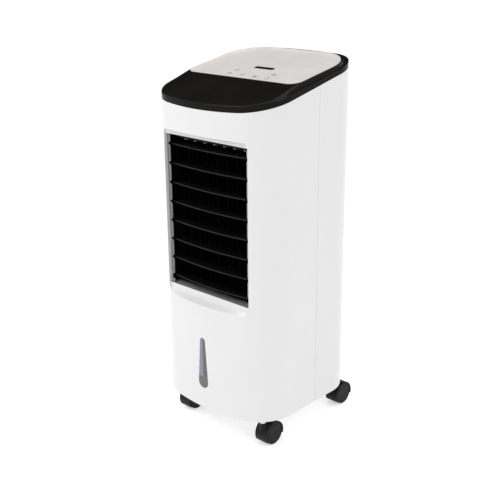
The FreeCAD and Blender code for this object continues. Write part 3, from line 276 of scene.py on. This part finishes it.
def smoked_acrylic_polished():
    """Display lens, cast acrylic polished flat: near black and glassy, faintly cloudy inside."""
    return moulded("smoked_acrylic_polished", "#101116", "#1C1D24", 0.03, 0.06, 14.0, 0.001,
                   ior=1.49)


# The water window's tints in mm: across X a painted highlight on the left fades into painted shade
# on the right, and in Z a plain lower grey gives way to them.
PAINTED_SHEEN_FADE_MM = (-7, 8)
LOWER_TINT_MM = (115, 119)


def smoked_styrene_moulded():
    """Water window, styrene tinted grey-violet: a painted highlight on its left fading into painted
    shade on its right, over a plain mottled grey at its lower end.
    """
    material, tree, place = start_material("smoked_styrene_moulded")
    axes = add(tree, "SeparateXYZ", links={"Vector": place})
    across = add(tree, "MapRange",
                 values={"From Min": PAINTED_SHEEN_FADE_MM[0] * MM, "From Max": PAINTED_SHEEN_FADE_MM[1] * MM},
                 links={"Value": axes.outputs["X"]})
    # Painted highlight on the window's left, fading into painted shade on its right.
    painted_sheen_and_shade = two_tones(tree, across.outputs[0], "#9C9AAC", "#625D60", 0.3, 0.62)
    # Plain mottled grey for the window's lower end.
    lower_tint = two_tones(tree, noise(tree, place, 12).outputs["Fac"], "#6A6462", "#7A7471")
    height = add(tree, "MapRange",
                 values={"From Min": LOWER_TINT_MM[0] * MM, "From Max": LOWER_TINT_MM[1] * MM},
                 links={"Value": axes.outputs["Z"]})
    colour = add(tree, "Mix", {"data_type": "RGBA"},
                 links={"Factor": height.outputs[0], "A": lower_tint, "B": painted_sheen_and_shade})
    gloss = between(tree, noise(tree, place, 8).outputs["Fac"], 0.06, 0.14)
    shader = add(tree, "BsdfPrincipled", values={"IOR": 1.59, "Transmission Weight": 0.3},
                 links={"Base Color": colour.outputs["Result"], "Roughness": gloss})
    end_material(tree, shader)
    return material


def acetal_grey_turned():
    """Bushes and bearing, grey acetal: milky blue-grey with a waxy gloss."""
    return moulded("acetal_grey_turned", "#8C949C", "#9EA6AE", 0.3, 0.4, 2.0, 0.006, ior=1.48)


def polypropylene_grey():
    """Inner mouldings, grey polypropylene: soft, slightly waxy, with flow marks."""
    return moulded("polypropylene_grey", "#A6A7A8", "#B3B4B5", 0.42, 0.55, 2.5, 0.015, ior=1.49)


def polypropylene_black():
    """Pump body, black polypropylene: charcoal, waxy."""
    return moulded("polypropylene_black", "#1B1B1D", "#252528", 0.4, 0.52, 1.5, 0.02, ior=1.49)


def rubber_black_moulded():
    """Plug and gland, black rubber: matt, dusty charcoal with a fine pebble."""
    return moulded("rubber_black_moulded", "#161616", "#202020", 0.6, 0.78, 0.7, 0.04, ior=1.52)


def nylon_black_moulded():
    """Castor hoods, black nylon: dark charcoal with a low sheen."""
    return moulded("nylon_black_moulded", "#090909", "#0E0E0F", 0.34, 0.46, 1.2, 0.012,
                   specular=0.14)


def nylon_black_turned():
    """Castor wheels, black nylon scuffed by the floor: low sheen with paler rub marks."""
    material, tree, place = start_material("nylon_black_turned")
    scuff = noise(tree, place, 6, detail=6, roughness=0.7)
    colour = two_tones(tree, scuff.outputs["Fac"], "#09090A", "#151517", 0.45, 0.75)
    gloss = between(tree, noise(tree, place, 3).outputs["Fac"], 0.36, 0.55)
    bump = add(tree, "Bump", values={"Strength": 0.7, "Distance": 0.02 * MM},
               links={"Height": scuff.outputs["Fac"]})
    shader = add(tree, "BsdfPrincipled", values={"IOR": 1.53, "Specular IOR Level": 0.16},
                 links={"Base Color": colour, "Roughness": gloss, "Normal": bump.outputs[0]})
    end_material(tree, shader)
    return material


def steel_zinc_plated(name="steel_zinc_plated", dark="#8F9296", light="#B8BBBF", brush=(1, 1, 12)):
    """Motor cans, screws and axles, plated steel: metal with a drawn grain and dull patches.

    brush squeezes the grain along an axis, and (1, 1, 1) leaves it even.
    """
    material, tree, place = start_material(name)
    stretch = add(tree, "Mapping", values={"Scale": brush}, links={"Vector": place})
    lines = noise(tree, stretch.outputs[0], 4, detail=5, roughness=0.7)
    colour = two_tones(tree, lines.outputs["Fac"], dark, light)
    gloss = between(tree, noise(tree, place, 10).outputs["Fac"], 0.25, 0.42)
    bump = add(tree, "Bump", values={"Strength": 0.5, "Distance": 0.01 * MM},
               links={"Height": lines.outputs["Fac"]})
    shader = add(tree, "BsdfPrincipled", values={"Metallic": 1.0},
                 links={"Base Color": colour, "Roughness": gloss, "Normal": bump.outputs[0]})
    end_material(tree, shader)
    return material


def vinyl_clear_extruded():
    """Pump hose, clear vinyl tube: milky grey-green, see-through, with an uneven gloss."""
    material, tree, place = start_material("vinyl_clear_extruded")
    colour = two_tones(tree, noise(tree, place, 18).outputs["Fac"], "#C9D2CC", "#DDE4DF")
    gloss = between(tree, noise(tree, place, 5).outputs["Fac"], 0.12, 0.25)
    shader = add(tree, "BsdfPrincipled", values={"IOR": 1.53, "Transmission Weight": 0.6},
                 links={"Base Color": colour, "Roughness": gloss})
    end_material(tree, shader)
    return material


def cellulose_corrugated():
    """Cooling pad, resin-dipped kraft paper: tan brown, fibrous and matt, darker where it wicks."""
    material, tree, place = start_material("cellulose_corrugated")
    fibre = noise(tree, place, 1.6, detail=8, roughness=0.75)
    damp = noise(tree, place, 45)
    paper = two_tones(tree, fibre.outputs["Fac"], "#7C5A38", "#A98257")
    wick = two_tones(tree, damp.outputs["Fac"], "#B09A80", "#FFFFFF", 0.35, 0.6)
    colour = add(tree, "Mix", {"data_type": "RGBA", "blend_type": "MULTIPLY"},
                 values={"Factor": 1.0}, links={"A": paper, "B": wick})
    bump = add(tree, "Bump", values={"Strength": 0.8, "Distance": 0.1 * MM},
               links={"Height": fibre.outputs["Fac"]})
    gloss = between(tree, fibre.outputs["Fac"], 0.75, 0.95)
    shader = add(tree, "BsdfPrincipled", values={"IOR": 1.5},
                 links={"Base Color": colour.outputs["Result"], "Roughness": gloss,
                        "Normal": bump.outputs[0]})
    end_material(tree, shader)
    return material


def nylon_net_woven():
    """Dust net, black nylon thread: dark satin strands."""
    return moulded("nylon_net_woven", "#101012", "#1E1E21", 0.45, 0.6, 1.0, 0.03)


def solder_mask_printed():
    """Control board, solder mask over copper: glossy green, lighter tracks up to 2.5 mm apart."""
    material, tree, place = start_material("solder_mask_printed")
    tracks = add(tree, "TexBrick", {"offset": 0.5},
                 values={"Scale": 1 / (5 * MM), "Mortar Size": 0.04,
                         "Color1": linear("#0E3B22"), "Color2": linear("#124A2B"),
                         "Mortar": linear("#2C7A4C")},
                 links={"Vector": place})
    gloss = between(tree, noise(tree, place, 9).outputs["Fac"], 0.18, 0.3)
    bump = add(tree, "Bump", values={"Strength": 0.6, "Distance": 0.05 * MM},
               links={"Height": tracks.outputs["Fac"]})
    shader = add(tree, "BsdfPrincipled", values={"IOR": 1.5},
                 links={"Base Color": tracks.outputs["Color"], "Roughness": gloss,
                        "Normal": bump.outputs[0]})
    end_material(tree, shader)
    return material


def ink_screen_printed():
    """Touch marks, dark grey screen ink: flat and matt, slightly uneven where the mesh left it."""
    return moulded("ink_screen_printed", "#4A4A4C", "#5A5A5C", 0.5, 0.6, 0.5, 0.004)


# ---- casing, cap and panel -------------------------------------------------

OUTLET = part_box("outlet_frame")
OUTLET_EDGE = 0.7 * MM
SHELL_EDGE = 0.4 * MM
SHELL_TURN = math.radians(30)
CORNER_TURN = math.radians(60)

# How far the outlet's rim lies from the trim's box: behind its front, beside, below and above it.
RIM_BEHIND = 1 * MM
RIM_BESIDE = 1.5 * MM
RIM_BELOW = 20 * MM
RIM_ABOVE = 2 * MM


def middle_of(edge):
    return (edge.verts[0].co + edge.verts[1].co) / 2


def shell_edges(shape):
    """Sorts a shell's sharp edges into the outlet's front rim and the rest."""
    rim = []
    rest = []
    for edge in sharp_edges(shape, SHELL_TURN):
        middle = middle_of(edge)
        front = all(v.co.y < OUTLET[0].y + RIM_BEHIND for v in edge.verts)
        across = abs(middle.x) < OUTLET[1].x + RIM_BESIDE
        tall = OUTLET[0].z - RIM_BELOW < middle.z < OUTLET[1].z + RIM_ABOVE
        if front and across and tall:
            rim.append(edge)
        else:
            rest.append(edge)
    return rim, rest


def make_front_shell():
    """Front half of the casing, with a soft rim round the air outlet."""
    shape = joined_shape("front_shell")
    rim = shell_edges(shape)[0]
    round_edges(shape, rim, OUTLET_EDGE, 3)
    rest = shell_edges(shape)[1]
    corners = [e for e in rest if e.calc_face_angle() > CORNER_TURN]
    round_edges(shape, corners, SHELL_EDGE, 2)
    return stand_for("front_shell", shape)


END_REACH = 0.005 * MM


def dish_plane():
    """Height at y = 0 and slope of the panel's sunk floor, from the window that lies on it."""
    low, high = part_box("display_window")
    corners = [v.co for v in NODES["display_window"].data.vertices]
    front = min(co.z for co in corners if co.y < low.y + END_REACH)
    rear = min(co.z for co in corners if co.y > high.y - END_REACH)
    slope = (rear - front) / (high.y - low.y)
    return front - slope * low.y, slope


DISH_Z, DISH_SLOPE = dish_plane()


def above_dish(edge):
    middle = middle_of(edge)
    return middle.z > DISH_Z + DISH_SLOPE * middle.y


SHOULDER_TURN = math.radians(28)
SHOULDER_EDGE = 1.2 * MM
CROWN_EDGE = 0.3 * MM


def make_top_cap():
    """Cap with its shoulder and its narrow crown rounded over."""
    shape = joined_shape("top_cap")
    shoulder = [e for e in sharp_edges(shape, SHOULDER_TURN)
                if e.calc_face_angle() < CORNER_TURN and not above_dish(e)]
    round_edges(shape, shoulder, SHOULDER_EDGE, 3)
    crown = [e for e in sharp_edges(shape, math.radians(EDGE_TURN)) if above_dish(e)]
    round_edges(shape, crown, CROWN_EDGE, 2)
    return stand_for("top_cap", shape)


# Each mark is drawn in millimetres round (0, 0), and MARK_SCALE then sizes it. MARK_T is the
# ink's thickness, STROKE a line's width, and STROKE_LAP the part of that width by which a line
# is drawn longer, so that it joins the next. THIRD_TURN is in radians.
MARK_T = 0.08 * MM
STROKE = 0.7 * MM
STROKE_LAP = 0.6
MARK_SCALE = 1.12
THIRD_TURN = 2.094


def stroke(shape, points):
    """Flat line of even width through (x, y) points in millimetres."""
    for (x0, y0), (x1, y1) in zip(points, points[1:]):
        run = Vector((x1 - x0, y1 - y0, 0)) * MM
        turn = Matrix.Rotation(math.atan2(run.y, run.x), 4, "Z")
        middle = Vector(((x0 + x1) / 2, (y0 + y1) / 2, 0)) * MM
        size = Matrix.Diagonal((run.length + STROKE * STROKE_LAP, STROKE, MARK_T, 1))
        bmesh.ops.create_cube(shape, size=1, matrix=Matrix.Translation(middle) @ turn @ size)


def arc(cx, cy, radius, start, end, steps=14):
    """Points in millimetres on an arc given in degrees."""
    points = []
    for k in range(steps + 1):
        angle = math.radians(start + (end - start) * k / steps)
        points.append((cx + radius * math.cos(angle), cy + radius * math.sin(angle)))
    return points


def power_mark(shape):
    stroke(shape, arc(0, 0, 3.2, 125, 415))
    stroke(shape, [(0, 0.6), (0, 4.4)])


def speed_mark(shape):
    for k in range(3):
        x = 1.9 * math.cos(k * THIRD_TURN)
        y = 1.9 * math.sin(k * THIRD_TURN)
        stroke(shape, arc(x, y, 1.6, 120 * k - 90, 120 * k + 120, 8))
    stroke(shape, arc(0, 0, 0.5, 0, 360, 8))


def swing_mark(shape):
    stroke(shape, arc(0, -3, 5.6, 45, 135))
    stroke(shape, [(-3.9, -0.9), (-3.9, 0.9), (-1.9, 1.3)])
    stroke(shape, [(3.9, -0.9), (3.9, 0.9), (1.9, 1.3)])
    stroke(shape, [(0, -2.6), (0, 1.2)])


def timer_mark(shape):
    stroke(shape, arc(0, 0, 3.3, 0, 360, 20))
    stroke(shape, [(0, 2.1), (0, 0), (1.7, -0.8)])


def drop_mark(shape):
    stroke(shape, arc(0, -0.9, 2.5, -215, 35, 14) + [(0, 4)] + arc(0, -0.9, 2.5, 145, 150, 1))


def breeze_mark(shape):
    for k in (-1, 0, 1):
        wave = [(x / 2, 1.9 * k + 0.55 * math.sin(x * 0.9)) for x in range(-8, 9)]
        stroke(shape, wave)


# Each mark with its place on the panel in millimetres, right of and behind its middle.
MARKS = ((power_mark, -35.6, 0.2), (timer_mark, 47.8, -2.1), (speed_mark, -36.4, -17.3),
         (swing_mark, -7.6, -18.6), (breeze_mark, 21.4, -19.2), (drop_mark, 48.7, -19.8))


def make_touch_marks():
    """Plain pictograms printed on the panel's sunk floor."""
    shape = bmesh.new()
    lie = Matrix.Rotation(math.atan(DISH_SLOPE), 4, "X") @ Matrix.Scale(MARK_SCALE, 4)
    for draw, x, y in MARKS:
        mark = bmesh.new()
        draw(mark)
        spot = Vector((x * MM, y * MM, DISH_Z + DISH_SLOPE * y * MM + MARK_T / 2))
        mark.transform(Matrix.Translation(spot) @ lie)
        mesh = bpy.data.meshes.new("mark")
        mark.to_mesh(mesh)
        mark.free()
        shape.from_mesh(mesh)
        bpy.data.meshes.remove(mesh)
    piece = new_piece("touch_marks", shape)
    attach(piece, "casing")
    return piece


# ---- filter ----------------------------------------------------------------

SHEET_PITCH = 7.0 * MM
FLUTE = 14.0 * MM
PAPER_WALL = 0.35 * MM
DEPTH_STEPS = 12
HEIGHT_STEPS = 150


def make_pad_sheets():
    """Cooling pad: upright paper sheets, each fluted the opposite way to its neighbours."""
    low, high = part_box("cooling_pad")
    count = int((high.x - low.x) / SHEET_PITCH)
    swell = SHEET_PITCH / 2
    shape = bmesh.new()
    for k in range(count):
        grid = bmesh.ops.create_grid(shape, x_segments=DEPTH_STEPS, y_segments=HEIGHT_STEPS,
                                     size=0.5)["verts"]
        x = (low.x + high.x) / 2 + (k - (count - 1) / 2) * SHEET_PITCH
        lean = 1 if k % 2 else -1
        for vert in grid:
            y = low.y + (vert.co.x + 0.5) * (high.y - low.y)
            z = low.z + (vert.co.y + 0.5) * (high.z - low.z)
            wave = math.sin(2 * math.pi * (z + lean * (y - low.y)) / FLUTE)
            vert.co = Vector((x + swell * lean * wave, y, z))
    piece = new_piece("pad_sheets", shape)
    wall = piece.modifiers.new("paper_wall", "SOLIDIFY")
    wall.thickness = PAPER_WALL
    wall.offset = 0
    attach(piece, "rear_cartridge")
    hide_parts("cooling_pad")
    return piece


NET_PITCH = 3.6 * MM
THREAD = 0.5 * MM


def make_dust_net():
    """Dust net: threads drawn 3.6 mm apart, coarser than real, so that the weave shows."""
    low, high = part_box("dust_mesh")
    shape = bmesh.new()
    middle = (low.y + high.y) / 2
    across = int((high.x - low.x) / NET_PITCH)
    for k in range(across + 1):
        x = low.x + (high.x - low.x - THREAD) * k / across
        box_shape(shape, Vector((x, middle - THREAD / 2, low.z)),
                  Vector((x + THREAD, middle, high.z)))
    up = int((high.z - low.z) / NET_PITCH)
    for k in range(up + 1):
        z = low.z + (high.z - low.z - THREAD) * k / up
        box_shape(shape, Vector((low.x, middle, z)),
                  Vector((high.x, middle + THREAD / 2, z + THREAD)))
    piece = new_piece("dust_net", shape)
    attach(piece, "rear_cartridge")
    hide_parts("dust_mesh")
    return piece


# ---- all parts -------------------------------------------------------------

CORNERS = ("front_left", "front_right", "rear_left", "rear_right")
LOUVRES = ["louvre_%d" % k for k in range(1, 9)]
VANES = ["vane_%d" % k for k in range(1, 8)]


def named(prefix):
    return [prefix + corner for corner in CORNERS]


# Edge radius in millimetres, then the parts that have it.
ROUNDED = (
    (0.4, ["rear_shell", "base_plate", "water_tank", "rear_grille", "pad_frame", "drip_tray",
           "deck"]),
    (0.5, ["control_panel", "water_pump", "fan_motor", "swing_motor", "drum_bearing"]),
    (0.3, ["outlet_frame", "vane_bushes", "vane_carrier", "cord_gland", "display_window"]),
    (0.6, LOUVRES + VANES + ["tank_latch", "drain_plug"]),
    (0.35, named("castor_hood_")),
    (0.9, named("castor_wheels_")),
)

# Parts shown as the CAD has them: thin-bladed, hidden or already rounded.
KEPT = ["fan_drum", "fan_housing", "swing_crank", "vane_link", "louvre_link", "water_window",
        "control_board", "case_screws", "pump_hose"] + named("castor_axle_")


def make_pieces():
    """Every shown part by the CAD name that it stands for."""
    pieces = {"front_shell": make_front_shell(), "top_cap": make_top_cap(),
              "cooling_pad": make_pad_sheets(), "dust_mesh": make_dust_net(),
              "touch_marks": make_touch_marks()}
    for radius, names in ROUNDED:
        for name in names:
            pieces[name] = rounded_part(name, radius * MM)
    for name in KEPT:
        pieces[name] = NODES[name]
    return pieces


def paint(pieces):
    finishes = (
        (white_abs_moulded(), ["front_shell", "rear_shell", "base_plate", "water_tank",
                               "rear_grille", "tank_latch"]),
        (black_abs_polished(), ["top_cap"]),
        (pearl_abs_painted(), ["control_panel"]),
        (smoked_acrylic_polished(), ["display_window"]),
        (smoked_styrene_moulded(), ["water_window"]),
        (silver_abs_painted(), ["outlet_frame"]),
        (black_abs_grained(), LOUVRES + ["vane_carrier", "louvre_link"]),
        (black_abs_matt(), VANES + ["fan_housing", "fan_drum", "swing_crank", "vane_link"]),
        (acetal_grey_turned(), ["vane_bushes", "drum_bearing"]),
        (steel_zinc_plated(), ["fan_motor", "swing_motor"]),
        (steel_zinc_plated("steel_screw_plated", "#9A9C9E", "#C6C8CA", (1, 1, 1)),
         ["case_screws"]),
        (steel_zinc_plated("steel_axle_blackened", "#1C1C1E", "#2A2A2D", (12, 1, 1)),
         named("castor_axle_")),
        (polypropylene_grey(), ["deck", "drip_tray", "pad_frame"]),
        (polypropylene_black(), ["water_pump"]),
        (vinyl_clear_extruded(), ["pump_hose"]),
        (cellulose_corrugated(), ["cooling_pad"]),
        (nylon_net_woven(), ["dust_mesh"]),
        (solder_mask_printed(), ["control_board"]),
        (rubber_black_moulded(), ["drain_plug", "cord_gland"]),
        (nylon_black_moulded(), named("castor_hood_")),
        (nylon_black_turned(), named("castor_wheels_")),
        (ink_screen_printed(), ["touch_marks"]),
    )
    for material, names in finishes:
        for name in names:
            pieces[name].data.materials.clear()
            pieces[name].data.materials.append(material)


# ---- studio ----------------------------------------------------------------

def seen_directly(tree):
    """1 for rays from the camera, a mirror or glass."""
    path = add(tree, "LightPath")
    first = add(tree, "Math", {"operation": "MAXIMUM"})
    tree.links.new(path.outputs["Is Camera Ray"], first.inputs[0])
    tree.links.new(path.outputs["Is Glossy Ray"], first.inputs[1])
    both = add(tree, "Math", {"operation": "MAXIMUM"})
    tree.links.new(first.outputs[0], both.inputs[0])
    tree.links.new(path.outputs["Is Transmission Ray"], both.inputs[1])
    return both.outputs[0]


AMBIENT = 0.64
FLOOR_LIFT = 0.5
FLOOR_REACH = 80.0
AIM = Vector((0, 0, 0.35))


def make_world():
    """Even ambient light, behind which the backdrop is plain white."""
    world = bpy.data.worlds.new("studio")
    bpy.context.scene.world = world
    world.use_nodes = True
    tree = world.node_tree
    tree.nodes.clear()
    light = add(tree, "Background", values={"Color": linear("#FBFCFF"), "Strength": AMBIENT})
    white = add(tree, "Background", values={"Color": linear("#FFFFFF"), "Strength": 1.0})
    choose = add(tree, "MixShader", links={"Fac": seen_directly(tree)})
    tree.links.new(light.outputs[0], choose.inputs[1])
    tree.links.new(white.outputs[0], choose.inputs[2])
    output = add(tree, "OutputWorld")
    tree.links.new(choose.outputs[0], output.inputs["Surface"])


def make_floor():
    """Plain pale floor that still takes the cooler's shadow."""
    shape = bmesh.new()
    bmesh.ops.create_grid(shape, x_segments=1, y_segments=1, size=FLOOR_REACH)
    floor = new_piece("floor", shape)
    material, tree, place = start_material("studio_paper")
    colour = two_tones(tree, noise(tree, place, 300).outputs["Fac"], "#F4F4F4", "#F6F6F6")
    paper = add(tree, "BsdfDiffuse", links={"Color": colour})
    lift = add(tree, "Emission", values={"Color": linear("#FFFFFF"), "Strength": FLOOR_LIFT})
    both = add(tree, "AddShader")
    tree.links.new(paper.outputs[0], both.inputs[0])
    tree.links.new(lift.outputs[0], both.inputs[1])
    choose = add(tree, "MixShader", links={"Fac": seen_directly(tree)})
    tree.links.new(paper.outputs[0], choose.inputs[1])
    tree.links.new(both.outputs[0], choose.inputs[2])
    end_material(tree, choose)
    floor.data.materials.append(material)


def toward(azimuth, elevation):
    """Direction from the cooler, with azimuth 0 straight out of its front."""
    return Vector((math.sin(azimuth) * math.cos(elevation),
                   -math.cos(azimuth) * math.cos(elevation), math.sin(elevation)))


def softbox(name, azimuth, elevation, distance, width, height, strength):
    """Area lamp aimed at the middle of the cooler."""
    lamp = bpy.data.lights.new(name, "AREA")
    lamp.shape = "RECTANGLE"
    lamp.size = width
    lamp.size_y = height
    lamp.energy = strength
    back = toward(math.radians(azimuth), math.radians(elevation))
    box = bpy.data.objects.new(name, lamp)
    box.location = AIM + back * distance
    box.rotation_euler = back.to_track_quat("Z", "Y").to_euler()
    box.visible_camera = False
    bpy.context.scene.collection.objects.link(box)


CAP_MIDDLE = Vector((0, 0, 0.62))
FLAG_DIRECTION = Vector((-0.64, 0.46, 0.61))
FLAG_DISTANCE = 2.0
FLAG_SIZE = 2.6


def make_flag():
    """Black card behind the cooler, seen only in gloss, so that the polished cap reads black."""
    shape = bmesh.new()
    turn = FLAG_DIRECTION.to_track_quat("Z", "Y").to_matrix().to_4x4()
    spot = Matrix.Translation(CAP_MIDDLE + FLAG_DIRECTION * FLAG_DISTANCE)
    bmesh.ops.create_grid(shape, x_segments=1, y_segments=1, size=FLAG_SIZE / 2,
                          matrix=spot @ turn)
    flag = new_piece("flag", shape)
    material, tree, place = start_material("card_black_matt")
    colour = two_tones(tree, noise(tree, place, 400).outputs["Fac"], "#050505", "#080808")
    end_material(tree, add(tree, "BsdfDiffuse", links={"Color": colour}))
    flag.data.materials.append(material)
    for ray in ("camera", "diffuse", "transmission", "volume_scatter", "shadow"):
        setattr(flag, "visible_" + ray, False)


# Azimuth and elevation in degrees, distance, width and height in metres, and watts.
LAMPS = (
    ("key", -25, 48, 2.4, 1.6, 1.2, 22),
    ("side", 95, 35, 2.6, 1.2, 1.4, 12),
    ("top", 180, 80, 2.2, 1.4, 1.4, 8),
)


def make_lights():
    for lamp in LAMPS:
        softbox(*lamp)


CAMERA_PLACE = Vector((1.01878, -1.11148, 0.83568))
CAMERA_TURN = (42.769, 19.109, 0.441)
LENS_MM = 65.67
SENSOR_MM = 36


def make_camera():
    """Camera given by its azimuth round the cooler, its elevation and its roll, in degrees."""
    azimuth, elevation, roll = (math.radians(value) for value in CAMERA_TURN)
    back = toward(azimuth, elevation)
    right = Vector((math.cos(azimuth), math.sin(azimuth), 0))
    up = back.cross(right)
    x_axis = right * math.cos(roll) - up * math.sin(roll)
    y_axis = right * math.sin(roll) + up * math.cos(roll)
    lens = bpy.data.cameras.new("camera")
    lens.lens = LENS_MM
    lens.sensor_width = SENSOR_MM
    camera = bpy.data.objects.new("camera", lens)
    turn = Matrix((x_axis, y_axis, back)).transposed().to_4x4()
    camera.matrix_world = Matrix.Translation(CAMERA_PLACE) @ turn
    bpy.context.scene.collection.objects.link(camera)
    bpy.context.scene.camera = camera


make_camera()
make_world()
make_floor()
make_flag()
make_lights()
paint(make_pieces())
bpy.context.scene.view_settings.view_transform = "Standard"
bpy.context.view_layer.update()
